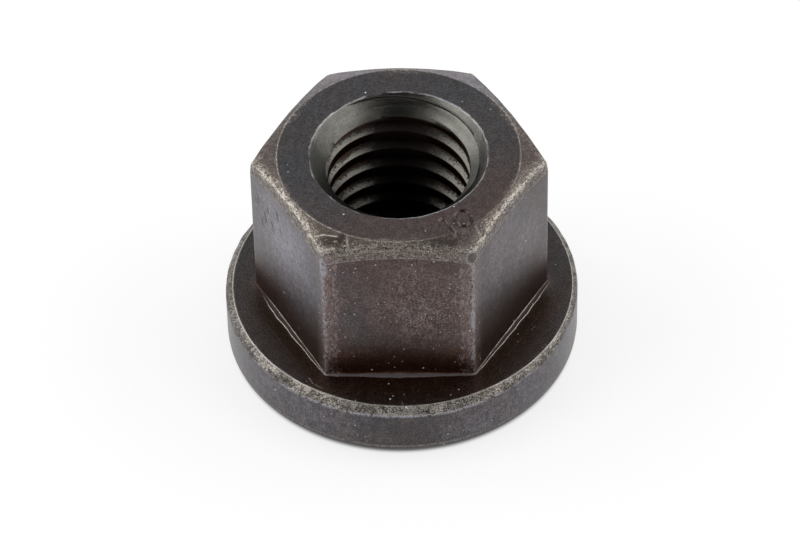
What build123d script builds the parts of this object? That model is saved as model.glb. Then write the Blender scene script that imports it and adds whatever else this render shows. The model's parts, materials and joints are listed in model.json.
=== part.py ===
from build123d import *
from math import cos, pi, radians, tan
import os

# Collar nut for an M10 screw: a chamfered hexagon forged in one piece with a flat round collar.
# Millimetres. Z is the axis of the thread, the bearing face of the collar lies in the plane Z = 0,
# and two opposite corners of the hexagon lie along X.

# Hexagon, 1.5 times as high as the screw is thick
across_flats = 15.8
nut_height = 15.0
corner_rounding = 0.2
top_chamfer_angle = 24.4
# from the middle of a flat to the round top face
top_face_setback = 0.465

# Collar
collar_thickness = 3.85
# from a corner of the hexagon to the rim of the collar
collar_ledge = 1.878
collar_top_chamfer = 0.48
collar_bottom_chamfer = 0.42
foot_fillet = 0.25

# Thread, right-hand
nominal_diameter = 10.0
pitch = 1.5
flank_angle = 30.0
# how much wider than the basic profile the hole is drilled before it is tapped
drill_oversize = 0.324
groove_root_width = 0.05
# depth below the top face at which the middle of the groove crosses the +Y side
groove_depth_at_back = 0.32

# Countersinks at both ends of the thread
countersink_margin = 0.43
countersink_half_angle = 45.0

# How far a cut reaches past the face that it opens
tool_reach = 1.0
thread_tool_reach = 0.2
# distance within which two places count as the same
snap = 0.01

# Radii and depths that follow from the sizes above
corner_radius = across_flats / 2 / cos(pi / 6)
collar_radius = corner_radius + collar_ledge
top_circle_radius = across_flats / 2 - top_face_setback
chamfer_outer_radius = corner_radius + tool_reach
chamfer_drop = (chamfer_outer_radius - top_circle_radius) * tan(radians(top_chamfer_angle))
# a sharp 60 degree thread of this pitch would be this deep
sharp_thread_depth = cos(pi / 6) * pitch
minor_radius = (nominal_diameter - 5 / 4 * sharp_thread_depth + drill_oversize) / 2
# radius at which groove and ridge of the basic profile are equally wide
pitch_radius = nominal_diameter / 2 - 3 / 8 * sharp_thread_depth
root_radius = pitch_radius + (pitch - 2 * groove_root_width) / 4 / tan(radians(flank_angle))
groove_inner_radius = minor_radius - thread_tool_reach
groove_inner_width = pitch / 2 + 2 * (pitch_radius - groove_inner_radius) * tan(radians(flank_angle))
helix_radius = (groove_inner_radius + root_radius) / 2
countersink_radius = nominal_diameter / 2 + countersink_margin
countersink_depth = (countersink_radius - minor_radius) / tan(radians(countersink_half_angle))
countersink_outer_radius = countersink_radius + tool_reach * tan(radians(countersink_half_angle))

# Heights at which the turns of the groove start on the +Y side, from below the bearing face
# to above the top face
groove_height_at_back = nut_height - groove_depth_at_back
turns_below = int(groove_height_at_back / pitch) + 2
turn_heights = [groove_height_at_back + (turn - turns_below) * pitch for turn in range(turns_below + 1)]

os.makedirs("parts", exist_ok=True)


def is_collar_rim(edge):
    """True for a full circle as wide as the collar."""
    return edge.geom_type == GeomType.CIRCLE and abs(edge.radius - collar_radius) < snap


# Cone that opens the top end of the hole
with BuildPart() as countersink:
    with BuildSketch(Plane.XZ):
        with BuildLine():
            Polyline(
                (0, nut_height - countersink_depth),
                (minor_radius, nut_height - countersink_depth),
                (countersink_outer_radius, nut_height + tool_reach),
                (0, nut_height + tool_reach),
                close=True,
            )
        make_face()
    revolve(axis=Axis.Z)

with BuildPart() as blank:
    # Hexagon from the bearing plane to the top face
    with BuildSketch(Plane.XY) as hexagon:
        RegularPolygon(radius=across_flats / 2, side_count=6, major_radius=False)
        fillet(hexagon.vertices(), radius=corner_rounding)
    extrude(amount=nut_height)

    # Turned chamfer that leaves the round top face
    with BuildSketch(Plane.XZ):
        with BuildLine():
            Polyline(
                (top_circle_radius, nut_height),
                (chamfer_outer_radius, nut_height - chamfer_drop),
                (chamfer_outer_radius, nut_height + tool_reach),
                (top_circle_radius, nut_height + tool_reach),
                close=True,
            )
        make_face()
    revolve(axis=Axis.Z, mode=Mode.SUBTRACT)

    # Collar
    with BuildSketch(Plane.XY):
        Circle(collar_radius)
    extrude(amount=collar_thickness)

    # Small fillet where the flats stand on the collar
    edges_at_foot = blank.edges().filter_by_position(Axis.Z, collar_thickness - snap, collar_thickness + snap)
    fillet([edge for edge in edges_at_foot if not is_collar_rim(edge)], radius=foot_fillet)

    # Collar edges
    chamfer(blank.edges().filter_by(is_collar_rim).sort_by(Axis.Z)[-1], length=collar_top_chamfer)
    chamfer(blank.edges().filter_by(is_collar_rim).sort_by(Axis.Z)[0], length=collar_bottom_chamfer)

    # Hole through the nut
    with BuildSketch(Plane.XY):
        Circle(minor_radius)
    extrude(amount=nut_height, mode=Mode.SUBTRACT)

    # Countersink at the top, and its mirror image at the bearing face
    add(countersink.part, mode=Mode.SUBTRACT)
    mirror(countersink.part, about=Plane.XY.offset(nut_height / 2), mode=Mode.SUBTRACT)

# One turn of the helical groove between the ridges of the thread, starting on the +X side
with BuildPart() as groove_turn:
    with BuildLine() as groove_path:
        Helix(pitch=pitch, height=pitch, radius=helix_radius)
    with BuildSketch(Plane.XZ):
        with BuildLine():
            Polyline(
                (groove_inner_radius, -groove_inner_width / 2),
                (root_radius, -groove_root_width / 2),
                (root_radius, groove_root_width / 2),
                (groove_inner_radius, groove_inner_width / 2),
                close=True,
            )
        make_face()
    sweep(path=groove_path.line, is_frenet=True)

# The turns follow each other up the hole, turned to start on the +Y side
with BuildPart() as collar_nut:
    add(blank.part)
    with Locations([(0, 0, height) for height in turn_heights]):
        add(groove_turn.part, rotation=(0, 0, 90), mode=Mode.SUBTRACT)
collar_nut.part.label = "collar_nut"

export_step(collar_nut.part, "parts/collar_nut.step")
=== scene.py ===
"""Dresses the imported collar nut: worn blackened steel over a cut thread, on a pale studio floor."""

import json
import logging
import math
from dataclasses import dataclass, field
from enum import Enum
from functools import partial

import bpy
import numpy as np
from mathutils import Matrix, Vector


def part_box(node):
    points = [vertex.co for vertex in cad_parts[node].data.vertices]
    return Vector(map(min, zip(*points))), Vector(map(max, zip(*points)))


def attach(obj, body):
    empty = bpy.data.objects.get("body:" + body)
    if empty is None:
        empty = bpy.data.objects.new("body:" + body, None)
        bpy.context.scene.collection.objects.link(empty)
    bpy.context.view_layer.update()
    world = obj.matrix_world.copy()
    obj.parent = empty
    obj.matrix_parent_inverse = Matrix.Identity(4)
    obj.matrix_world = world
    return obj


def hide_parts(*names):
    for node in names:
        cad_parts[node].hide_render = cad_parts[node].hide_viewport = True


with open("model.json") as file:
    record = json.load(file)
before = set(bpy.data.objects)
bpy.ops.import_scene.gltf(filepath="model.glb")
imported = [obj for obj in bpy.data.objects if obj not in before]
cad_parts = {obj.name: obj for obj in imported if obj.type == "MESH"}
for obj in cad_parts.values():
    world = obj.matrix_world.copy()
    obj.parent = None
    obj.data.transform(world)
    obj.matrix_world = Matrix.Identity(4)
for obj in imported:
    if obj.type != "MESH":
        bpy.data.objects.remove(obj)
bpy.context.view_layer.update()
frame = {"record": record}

MM = 0.001
NODE = "collar_nut"
BODY = "root"
FAR = 3.0
"""Reach of the distance attributes, in millimetres."""

log = logging.getLogger("collar_nut")

Value = bpy.types.NodeSocket | float | tuple[float, ...]


class Zone(Enum):
    """Surfaces of the nut that take a finish of their own."""

    OUTSIDE = 0
    BORE = 1


class Attribute(Enum):
    """Distances, in millimetres, and shares that the skin hands to its materials."""

    RIDGE = "ridge_distance"
    CORNER = "corner_distance"
    CIRCLE = "top_circle_distance"
    MOUTH = "mouth_distance"
    FOOT = "foot_distance"
    RIM = "collar_rim_distance"
    BASE = "collar_base_distance"
    # Brown share of the oxide outside; in the bore, the share of painted shade.
    STAIN_AND_SHADE = "brown_share"
    # Share of rubbed haze on the front and of painted sheen elsewhere.
    HAZE = "haze_share"
    # Bare wear of the edges; on the foot, the brightness of its lines, which are partly painted highlights.
    WEAR = "edge_wear"
    DEPTH = "thread_depth"
    SCORE = "cone_score"
    FRONT = "front_share"
    STEP = "step_distance"


def ripple(points: np.ndarray, wavelength: float, seed: int, waves: int = 20) -> np.ndarray:
    """Smooth seeded unevenness in space: the mean of cosines that run in random directions.

    Each wave is cos(k . p + phase), where k has the length 2 pi / wavelength give or take a third.

    Args:
        points: Places in millimetres, with x, y and z along the last axis.
        wavelength: Typical distance between two crests, in millimetres.
        seed: Seed of the directions and phases.
        waves: Number of cosines that are added up.

    Returns:
        An array of the points' shape without the last axis, mostly between -1 and 1.
    """
    random = np.random.default_rng(seed)
    way = random.normal(size=(3, waves))
    way /= np.linalg.norm(way, axis=0)
    way *= 2 * np.pi / wavelength * random.uniform(0.67, 1.33, waves)
    phase = random.uniform(0, 2 * np.pi, waves)
    return np.cos(points @ way + phase).sum(axis=-1) * math.sqrt(2 / waves) / 1.5


def smoothstep(value: np.ndarray, low: float, high: float) -> np.ndarray:
    """Eases from 0 at low to 1 at high as 3 t^2 - 2 t^3, where t is the way from low to high.

    Args:
        value: The numbers to ease.
        low: Where the result leaves 0.
        high: Where the result reaches 1.

    Returns:
        An array of the value's shape, between 0 and 1.
    """
    share = np.clip((value - low) / (high - low), 0, 1)
    return share * share * (3 - 2 * share)


def segment_distance(points: np.ndarray, start: tuple[float, ...], end: tuple[float, ...]) -> np.ndarray:
    """Distance of each point from a straight stroke, taken at the nearest place on the stroke.

    Args:
        points: Places with their coordinates along the last axis.
        start: One end of the stroke.
        end: The other end of the stroke.

    Returns:
        An array of the points' shape without the last axis.
    """
    origin = np.array(start)
    run = np.array(end) - origin
    along = np.clip((points - origin) @ run / (run @ run), 0, 1)
    return np.linalg.norm(points - origin - along[..., None] * run, axis=-1)


@dataclass(frozen=True)
class Hexagon:
    """Hexagon with two corners along X, a turned top chamfer and edges worn round."""

    height: float
    across_flats: float = 15.8
    corner_rounding: float = 0.2
    top_circle_radius: float = 7.435
    chamfer_angle: float = math.radians(24.4)
    ridge_rounding: float = 0.26
    band_height: float = 0.72
    band_lean: float = 0.06

    def reach(self, angle: np.ndarray) -> np.ndarray:
        """Distance from the axis to the outline.

        On a flat it is half the width over flats divided by cos(30 deg - a), where a is the angle
        from the nearest corner. On the rounded corner it is the far crossing of the ray with the
        rounding's circle, whose centre lies on the corner's own ray.

        Args:
            angle: Angles about Z, in radians.

        Returns:
            Radii in millimetres, of the angle's shape.
        """
        sixth = np.pi / 3
        away = np.abs((angle + sixth / 2) % sixth - sixth / 2)
        half = self.across_flats / 2
        flat = half / np.cos(sixth / 2 - away)
        centre = (half - self.corner_rounding) / math.cos(sixth / 2)
        inside = self.corner_rounding**2 - (centre * np.sin(away)) ** 2
        corner = centre * np.cos(away) + np.sqrt(np.maximum(inside, 0))
        tangent = math.atan2(self.corner_rounding / 2, centre + self.corner_rounding * math.cos(sixth / 2))
        return np.where(away < tangent, np.minimum(corner, flat), flat)

    def edge_height(self, angle: np.ndarray) -> np.ndarray:
        """Height of the sharp edge between chamfer and flat: the chamfer cone at the outline's radius."""
        return self.height - (self.reach(angle) - self.top_circle_radius) * math.tan(self.chamfer_angle)


@dataclass(frozen=True)
class Foot:
    """Step that the forging die left where the flats stand on the collar.

    It is a chain of three arcs and a ledge. Along an arc the surface's normal turns from one
    angle above the horizon to another, and the arc is hollow where it turns up.
    """

    upper_hollow: float = 0.12
    ledge: float = 0.13
    nose: float = 0.05
    lower_hollow: float = 0.10
    ledge_tilt: float = math.radians(74)
    nose_tilt: float = math.radians(18)

    def length(self) -> float:
        """Way along the full-sized section from the named row of the upper hollow to the collar's top."""
        chain, rows = self.profile()
        return float(np.linalg.norm(np.diff(chain[rows["upper"]:], axis=0), axis=1).sum())

    def profile(self) -> tuple[np.ndarray, dict[str, int]]:
        """Section of the step.

        The surface runs along (sin t, -cos t) where t is the normal's angle, so an arc of radius q
        from t0 to t1 adds q (cos t0 - cos t1, sin t0 - sin t1), with both signs turned on the nose.

        Returns:
            Places as distance from the flat and height above the collar, and the rows of the hollows.
        """
        turns = [
            (self.upper_hollow, 0.0, self.ledge_tilt, 4),
            (-self.nose, self.ledge_tilt, self.nose_tilt, 3),
            (self.lower_hollow, self.nose_tilt, math.pi / 2, 5),
        ]
        places = [np.zeros((1, 2))]
        for size, start, end, count in turns:
            turn = start + (end - start) * np.arange(1, count + 1) / count
            step = size * np.stack([math.cos(start) - np.cos(turn), math.sin(start) - np.sin(turn)], axis=-1)
            places.append(places[-1][-1] + step)
            if start == 0.0:
                along = np.array([[math.sin(end), -math.cos(end)]])
                places.append(places[-1][-1] + self.ledge * along)
        chain = np.concatenate(places)
        chain[:, 1] -= chain[-1, 1]
        return chain, {"upper": 3, "lower": len(chain) - 3}


@dataclass(frozen=True)
class Collar:
    """Round collar with a battered top edge and a rounded lower edge."""

    radius: float
    thickness: float = 3.85
    foot: Foot = Foot()
    band_width: float = 0.49
    band_height: float = 0.46
    band_length: float = 0.68
    base_rounding: float = 0.62


@dataclass(frozen=True)
class Thread:
    """Right-hand metric thread with a countersink of 45 degrees at each end."""

    height: float
    crest_radius: float
    pitch: float = 1.5
    pitch_radius: float = 4.513
    root_radius: float = 5.13
    flank_angle: float = math.radians(30)
    groove_depth_at_back: float = 0.32
    mouth_radius: float = 5.43
    score_depth: float = 0.07
    score_width: float = 0.042
    score_shift: float = 0.07

    def groove_height(self, angle: np.ndarray) -> np.ndarray:
        """Height of the middle of one turn of the groove, which rises by a pitch for each turn."""
        return self.height - self.groove_depth_at_back + self.pitch * (angle / (2 * np.pi) - 0.25)

    def cone(self, z: np.ndarray) -> np.ndarray:
        """Radius of the wider of the two countersinks: the mouth's radius less the depth below its face."""
        return self.mouth_radius - np.minimum(z, self.height - z)

    def score(self, angle: np.ndarray, z: np.ndarray) -> np.ndarray:
        """Strength, from 0 to 1, of the fine score that goes on up the top cone along the groove's helix.

        It falls off as exp(-(h / w)^2), where h is the height from the score's middle and w its width.

        Args:
            angle: Angles about Z, in radians.
            z: Heights in millimetres.

        Returns:
            Strengths, of the arguments' common shape.
        """
        offset = (z - self.groove_height(angle) + self.pitch / 2) % self.pitch - self.pitch / 2
        turn = np.degrees(angle) % 360
        fades = smoothstep(turn, 0, 25) * (1 - smoothstep(turn, 112, 138))
        return np.exp(-(((offset - self.score_shift) / self.score_width) ** 2)) * fades * (z > self.height - 1.0)

    def radius(self, angle: np.ndarray, z: np.ndarray) -> np.ndarray:
        """Radius of the bore's wall.

        Between its flat crest and flat root a flank lies at pitch_radius + (pitch / 4 - h) / tan(30 deg),
        where h is the height from the middle of the groove. The wall is the widest of thread and cones,
        and where the groove runs out on the top cone a fine score goes on along the same helix.

        Args:
            angle: Angles about Z, in radians.
            z: Heights in millimetres.

        Returns:
            Radii in millimetres, of the arguments' common shape.
        """
        offset = (z - self.groove_height(angle) + self.pitch / 2) % self.pitch - self.pitch / 2
        flank = self.pitch_radius + (self.pitch / 4 - np.abs(offset)) / math.tan(self.flank_angle)
        thread = np.clip(flank, self.crest_radius, self.root_radius)
        return np.maximum(thread, self.cone(z) + self.score_depth * self.score(angle, z))


@dataclass(frozen=True)
class Stamp:
    """Plain number ten stamped into the top face, with its head towards the hole."""

    upright: tuple[tuple[float, float], tuple[float, float]] = ((3.42, -6.63), (2.73, -5.42))
    flag_end: tuple[float, float] = (2.53, -5.66)
    nought: tuple[float, float] = (3.93, -5.50)
    nought_turn: float = math.radians(9)
    nought_wide: float = 0.50
    nought_tall: float = 0.64
    half_width: float = 0.135
    depth: float = 0.12

    def sink(self, points: np.ndarray) -> np.ndarray:
        """Depth of the stamped strokes: full along the middle of a stroke and eased out to its sides.

        The one is an upright with a short flag, and the nought is an ellipse: with u and v as the
        place along its half axes, its stroke lies where the length of (u, v) is 1.

        Args:
            points: Places in millimetres, with x, y and z along the last axis.

        Returns:
            Depths in millimetres, of the points' shape without the last axis.
        """
        flat = points[..., :2]
        foot, head = self.upright
        upright = segment_distance(flat, foot, head)
        flag = segment_distance(flat, head, self.flag_end)
        away = flat - np.array(self.nought)
        right = np.array([math.cos(self.nought_turn), math.sin(self.nought_turn)])
        up = np.array([-right[1], right[0]])
        swing = np.hypot(away @ right / self.nought_wide, away @ up / self.nought_tall)
        ring = np.abs(swing - 1) * (self.nought_wide + self.nought_tall) / 2 * 0.9
        stroke = np.minimum(np.minimum(upright, flag), ring)
        return self.depth * (1 - smoothstep(stroke, 0.02, self.half_width))


@dataclass(frozen=True)
class Dent:
    """Knock in the surface: a smooth hollow along a short stroke."""

    start: tuple[float, float, float]
    end: tuple[float, float, float]
    reach: float
    depth: float

    def sink(self, points: np.ndarray) -> np.ndarray:
        """Depth of the hollow, which falls off as exp(-(d / reach)^2) with the distance d from the stroke."""
        return self.depth * np.exp(-((segment_distance(points, self.start, self.end) / self.reach) ** 2))


def polar(radius: float, angle: float, z: float) -> tuple[float, float, float]:
    """Place at a radius, an angle in degrees and a height."""
    turn = math.radians(angle)
    return (radius * math.cos(turn), radius * math.sin(turn), z)


DENTS = (
    Dent(polar(9.02, -60.0, 13.99), polar(9.02, -60.0, 13.89), 0.28, 0.075),
    Dent(polar(7.50, -114.6, 14.95), polar(8.45, -113.2, 14.60), 0.10, 0.07),
    Dent(polar(7.85, -51.6, 14.80), polar(8.35, -52.4, 14.55), 0.10, 0.07),
    Dent(polar(10.9, -101.5, 3.60), polar(10.9, -98.5, 3.55), 0.30, 0.07),
    Dent(polar(10.9, -75.0, 3.58), polar(10.9, -72.0, 3.60), 0.25, 0.05),
    Dent(polar(10.9, -128.0, 3.60), polar(10.9, -126.5, 3.60), 0.22, 0.05),
    Dent(polar(10.95, -47.0, 3.45), polar(10.95, -44.0, 3.42), 0.25, 0.05),
    Dent(polar(10.95, 35.0, 3.55), polar(10.95, 38.0, 3.55), 0.30, 0.06),
    Dent(polar(10.95, 112.0, 3.55), polar(10.95, 114.0, 3.55), 0.30, 0.06),
    Dent(polar(8.36, -169.0, 11.4), polar(8.36, -169.0, 10.9), 0.16, 0.035),
    Dent(polar(7.97, -157.6, 13.0), polar(7.97, -157.3, 12.5), 0.15, 0.035),
    Dent(polar(8.69, -174.6, 12.3), polar(8.69, -174.4, 11.9), 0.15, 0.030),
    Dent(polar(8.02, -153.0, 9.6), polar(8.02, -152.6, 9.1), 0.16, 0.025),
    Dent(polar(8.05, 28.0, 8.6), polar(8.05, 30.0, 8.0), 0.30, 0.040),
    Dent(polar(8.20, 97.0, 11.2), polar(8.20, 99.0, 10.6), 0.28, 0.035),
)


@dataclass(frozen=True)
class Patch:
    """Patch of a share that falls off with distance: rubbed haze on the front, painted sheen on the side and back
    flats, or a place that stays slate.
    """

    centre: tuple[float, float, float]
    reach: float
    strength: float

    def share(self, points: np.ndarray) -> np.ndarray:
        """Strength of the patch, which falls off as exp(-(d / reach)^2) with the distance d."""
        away = np.linalg.norm(points - np.array(self.centre), axis=-1)
        return self.strength * np.exp(-((away / self.reach) ** 2))


# Rubbed haze on the front flat; the broad patches on the side and back flats are painted sheen.
HAZE_AND_SHEEN_PATCHES = (
    Patch((1.3, -7.9, 9.2), 2.0, 1.0),
    Patch((3.4, -7.9, 10.6), 1.9, 0.85),
    Patch((-0.7, -7.9, 9.7), 1.4, 0.6),
    Patch((0.9, -7.9, 12.0), 1.9, 0.55),
    Patch((-3.9, -7.9, 10.6), 1.0, 0.5),
    Patch((4.1, -7.9, 7.6), 1.0, 0.6),
    Patch((5.9, -5.5, 11.5), 3.2, 0.70),
    Patch((7.5, -2.9, 10.0), 2.9, 0.60),
    Patch((-6.9, -3.9, 11.2), 4.2, 1.0),
    Patch((6.8, 4.0, 9.0), 3.6, 0.6),
    Patch((-6.8, 4.0, 10.0), 3.6, 0.7),
    Patch((0.5, 7.9, 9.0), 3.6, 0.6),
)

SLATE_PATCHES = (
    Patch((-2.7, -7.9, 9.0), 1.3, 0.45),
    Patch((-2.3, -7.9, 6.8), 1.6, 0.30),
    Patch((-3.3, -7.9, 12.3), 0.9, 0.45),
)
"""Places where the front stays slate."""

BROWN_BY_FLAT = (0.35, 0.45, 0.30, 0.08, 1.00, 0.45)
"""Brown share of the flats, from the one right behind corner +X on, anticlockwise seen from above."""

WEAR_BY_FLAT = (0.22, 0.15, 0.22, 0.95, 0.60, 0.85)
"""How bare the steel is along the top edge of each flat, in the same order."""

CIRCLE_WEAR = (
    (-180, 1.00), (-165, 0.90), (-150, 0.20), (-140, 0.90), (-112, 1.00), (-98, 0.65), (-75, 0.40), (-60, 0.10),
    (-40, 0.10), (-25, 0.35), (0, 0.85), (45, 0.75), (75, 0.45), (105, 0.40), (135, 0.60), (180, 0.90),
)
"""How bare the rim of the top face is, by angle in degrees."""

FOOT_WIDTH = (
    (-180, 0.30), (-174, 0.40), (-165, 1.05), (-150, 0.95), (-125, 0.50), (-120, 0.30), (-115, 0.60), (-95, 1.0),
    (-85, 1.0), (-65, 0.60), (-60, 0.30), (-55, 0.50), (-30, 0.95), (-6, 0.95), (0, 0.45), (6, 0.90), (54, 0.90),
    (60, 0.40), (66, 0.90), (114, 0.90), (120, 0.40), (126, 0.90), (170, 0.90), (180, 0.30),
)
"""Size of the step at the foot, as a share of its full size, by angle in degrees."""

FOOT_LINES = (
    (-180, 0.00), (-173, 0.05), (-163, 0.80), (-150, 1.00), (-121, 1.00), (-59, 1.00), (-12, 0.80), (-3, 0.45),
    (0, 0.20), (20, 0.55), (60, 0.25), (90, 0.60), (120, 0.20), (150, 0.55), (180, 0.00),
)
# How bright the two lines along the foot are, by angle in degrees: the lines are partly worn edges and partly painted
# highlights.
"""How bright the two lines along the foot are, by angle in degrees."""

BAND_WIDTH = (
    (-180, 0.46), (-150, 0.49), (-110, 0.50), (-80, 0.47), (-55, 0.45), (-40, 0.40), (-25, 0.33), (0, 0.31),
    (25, 0.38), (70, 0.46), (120, 0.48), (180, 0.46),
)
"""Width of the collar's worn top edge, in millimetres, by angle in degrees."""

BORE_SHADE = (
    (-180, 0.0), (-90, 0.3), (0, 0.0), (55, 0.0), (76, 1.0), (102, 1.0), (118, 0.3), (135, 0.0), (180, 0.0),
)
# How much painted shade darkens the thread, by angle in degrees: most in the middle of the far wall.
"""How dirty the thread is, by angle in degrees."""

RIM_WEAR = (
    (-180, 0.20), (-140, 0.32), (-115, 0.90), (-90, 1.00), (-68, 0.90), (-50, 0.55), (-20, 0.40), (0, 0.45),
    (60, 0.50), (90, 0.70), (120, 0.50), (180, 0.45),
)
"""How torn the lower edge of the collar's rim band is, by angle in degrees."""


@dataclass
class NutSkin:
    """The nut's whole surface, from the mouth over the outside and back up through the bore."""

    hexagon: Hexagon
    collar: Collar
    thread: Thread
    stamp: Stamp = field(default_factory=Stamp)
    dents: tuple[Dent, ...] = DENTS
    columns_per_flat: int = 47
    stamp_window: tuple[float, float] = (-67.5, -49.0)
    stamp_step: float = 0.45
    unevenness: float = 0.006

    def angles(self) -> np.ndarray:
        """Angles of the columns.

        Each flat has evenly spaced columns between the tangent lines of its two rounded corners, each
        corner has three more, and the stretch with the stamped number has its own closer spacing.

        Returns:
            Rising angles in radians, from 0 to just under a full turn.
        """
        corner = math.degrees(self.hexagon.corner_rounding / 2 / (self.hexagon.across_flats / math.sqrt(3)))
        flat = np.linspace(corner, 60 - corner, self.columns_per_flat)
        sector = np.concatenate([[0.0, corner / 2], flat, [60 - corner / 2]])
        degrees = (np.arange(6)[:, None] * 60 + sector).ravel()
        first, last = (edge % 360 for edge in self.stamp_window)
        fine = np.arange(first, last, self.stamp_step)
        corners = degrees[np.abs((degrees + 30) % 60 - 30) <= corner * 1.01]
        fine = fine[np.abs(fine[:, None] - corners).min(axis=1) > 0.2]
        keep = (degrees < first - 0.3) | (degrees > last) | np.isin(degrees, corners)
        return np.radians(np.unique(np.concatenate([degrees[keep], fine])))

    def outside_section(self, angle: np.ndarray) -> tuple[np.ndarray, dict[str, int]]:
        """Rows of the outside, from the top mouth over the hexagon and the collar to the lower mouth.

        Each stretch is a straight line or an arc between two places that depend on the angle. An arc
        of rounding q between directions a and b is its centre plus q times the turning normal.

        Args:
            angle: Angles of the columns, in radians.

        Returns:
            Radii and heights as an array of rows by columns by two, and the rows of the named edges.
        """
        hexagon, collar, thread = self.hexagon, self.collar, self.thread
        one = np.ones_like(angle)
        ring = np.stack([np.cos(angle), np.sin(angle), 0 * angle], axis=-1)
        top = hexagon.height * one
        rows: list[np.ndarray] = []
        marks: dict[str, int] = {}

        def line(r0: np.ndarray, z0: np.ndarray, r1: np.ndarray, z1: np.ndarray, count: int) -> None:
            """Adds rows from the first place up to, and without, the second one."""
            share = (np.arange(count) / count)[:, None]
            rows.append(np.stack([r0 + (r1 - r0) * share, z0 + (z1 - z0) * share], axis=-1))

        def arc(r: np.ndarray, z: np.ndarray, size: np.ndarray, start: float, end: float, count: int) -> None:
            """Adds rows on an arc about a centre, from one direction up to, and without, another."""
            turn = (start + (end - start) * np.arange(count) / count)[:, None]
            rows.append(np.stack([r + size * np.cos(turn), z + size * np.sin(turn)], axis=-1))

        def mark(name: str) -> None:
            """Names the row that comes next."""
            marks[name] = sum(len(block) for block in rows)

        slope = hexagon.chamfer_angle
        across = np.pi / 2 - slope
        reach = hexagon.reach(angle)
        lean = hexagon.band_lean * one
        worn = hexagon.ridge_rounding * (1 + 0.25 * ripple(ring * reach[:, None], 1.6, 11))
        edge_r = reach - lean
        edge_z = hexagon.height - (edge_r - hexagon.top_circle_radius) * math.tan(slope)
        tangent = worn * math.tan(across / 2)
        centre_r = edge_r - worn
        centre_z = edge_z - tangent
        band_z = hexagon.edge_height(angle) - hexagon.band_height
        band_z = band_z + 0.05 * ripple(ring * reach[:, None], 0.9, 12)

        soft = 0.12
        circle_r = (hexagon.top_circle_radius - soft * math.tan(slope / 2)) * one
        mouth_soft = 0.035
        mark("mouth")
        mouth_r = thread.mouth_radius + mouth_soft + 0.022 * ripple(ring * thread.mouth_radius, 0.6, 15)
        arc(mouth_r, top - mouth_soft, mouth_soft * one, np.pi * 0.85, np.pi / 2, 3)
        line(mouth_r, top, circle_r, top, 38)
        mark("circle")
        marks["circle"] += 1
        arc(circle_r, top - soft, soft * one, np.pi / 2, np.pi / 2 - slope, 3)
        chamfer_r = circle_r + soft * math.sin(slope)
        chamfer_z = top - soft * (1 - math.cos(slope))
        mark("chamfer")
        line(
            chamfer_r, chamfer_z,
            centre_r + worn * math.sin(slope), centre_z + worn * math.cos(slope), 7,
        )
        mark("edge")
        marks["ridge"] = marks["edge"] + 3
        arc(centre_r, centre_z, worn, np.pi / 2 - slope, 0.0, 7)
        line(edge_r, centre_z, reach, band_z, 5)
        step, hollows = collar.foot.profile()
        spread = self.by_angle(FOOT_WIDTH, angle) * (1 + 0.10 * ripple(ring * reach[:, None], 1.1, 16))
        step_top = collar.thickness + step[0, 1] * spread
        mark("flat")
        line(reach, band_z, reach, step_top, 22)
        mark("step")
        marks["upper_hollow"] = marks["step"] + hollows["upper"]
        marks["lower_hollow"] = marks["step"] + hollows["lower"]
        rows.append(np.stack([
            reach + step[:-1, :1] * spread, collar.thickness + step[:-1, 1:] * spread,
        ], axis=-1))
        inner = collar.radius - self.by_angle(BAND_WIDTH, angle)
        mark("ledge")
        line(reach + step[-1, 0] * spread, collar.thickness * one, inner, collar.thickness * one, 9)
        mark("rim")
        knocks = ripple(ring * collar.radius, 1.3, 13)
        lower = collar.thickness - collar.band_height * (collar.radius - inner) / collar.band_width + 0.045 * knocks
        side = collar.radius * one
        bulge = 0.05 + 0.03 * ripple(ring * collar.radius, 2.1, 14)
        middle_r = (inner + side) / 2 + bulge
        middle_z = (collar.thickness + lower) / 2 + bulge
        line(inner, collar.thickness * one, middle_r, middle_z, 4)
        line(middle_r, middle_z, side - 0.02, lower + 0.05, 4)
        line(side - 0.02, lower + 0.05, side, lower - 0.04, 2)
        base = collar.base_rounding
        mark("side")
        line(side, lower - 0.04, side, base * one, 8)
        mark("base")
        arc(side - base, base * one, base * one, 0.0, -np.pi / 2, 7)
        floor_r = thread.mouth_radius + mouth_soft
        mark("bearing")
        line(side - base, 0 * one, floor_r * one, 0 * one, 7)
        arc(floor_r * one, mouth_soft * one, mouth_soft * one, -np.pi / 2, -np.pi * 0.85, 3)
        return np.concatenate(rows), marks

    def bore_rows(self, angle: np.ndarray) -> tuple[np.ndarray, np.ndarray, int]:
        """Rows of the bore, which climb with the thread and are cut off level at both ends.

        A row keeps its height from the middle of the groove, so that crest, flank and root each
        have rows of their own along the whole helix.

        Args:
            angle: Angles of the columns, in radians.

        Returns:
            Heights by row and column, the same shape of marks that are -1 or 1 where a row is cut
            off below or above, and the number of rows in a turn.
        """
        thread = self.thread
        half_crest = thread.pitch / 2
        below = [-half_crest, -0.50, -0.462, -0.395, -0.275, -0.155, -0.035]
        above = [0.0, 0.035, thread.score_shift, 0.105, 0.16, 0.275, 0.395, 0.462, 0.50]
        offsets = np.array(below + above)
        turns = np.arange(-int(thread.height / thread.pitch) - 2, 2)
        climb = (turns[:, None] * thread.pitch + offsets).ravel()
        z = thread.groove_height(angle) + climb[:, None]
        low, high = 0.16, thread.height - 0.07
        cut = np.where(z <= low, -1, np.where(z >= high, 1, 0))
        return np.clip(z, low, high), cut, len(offsets)

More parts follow.
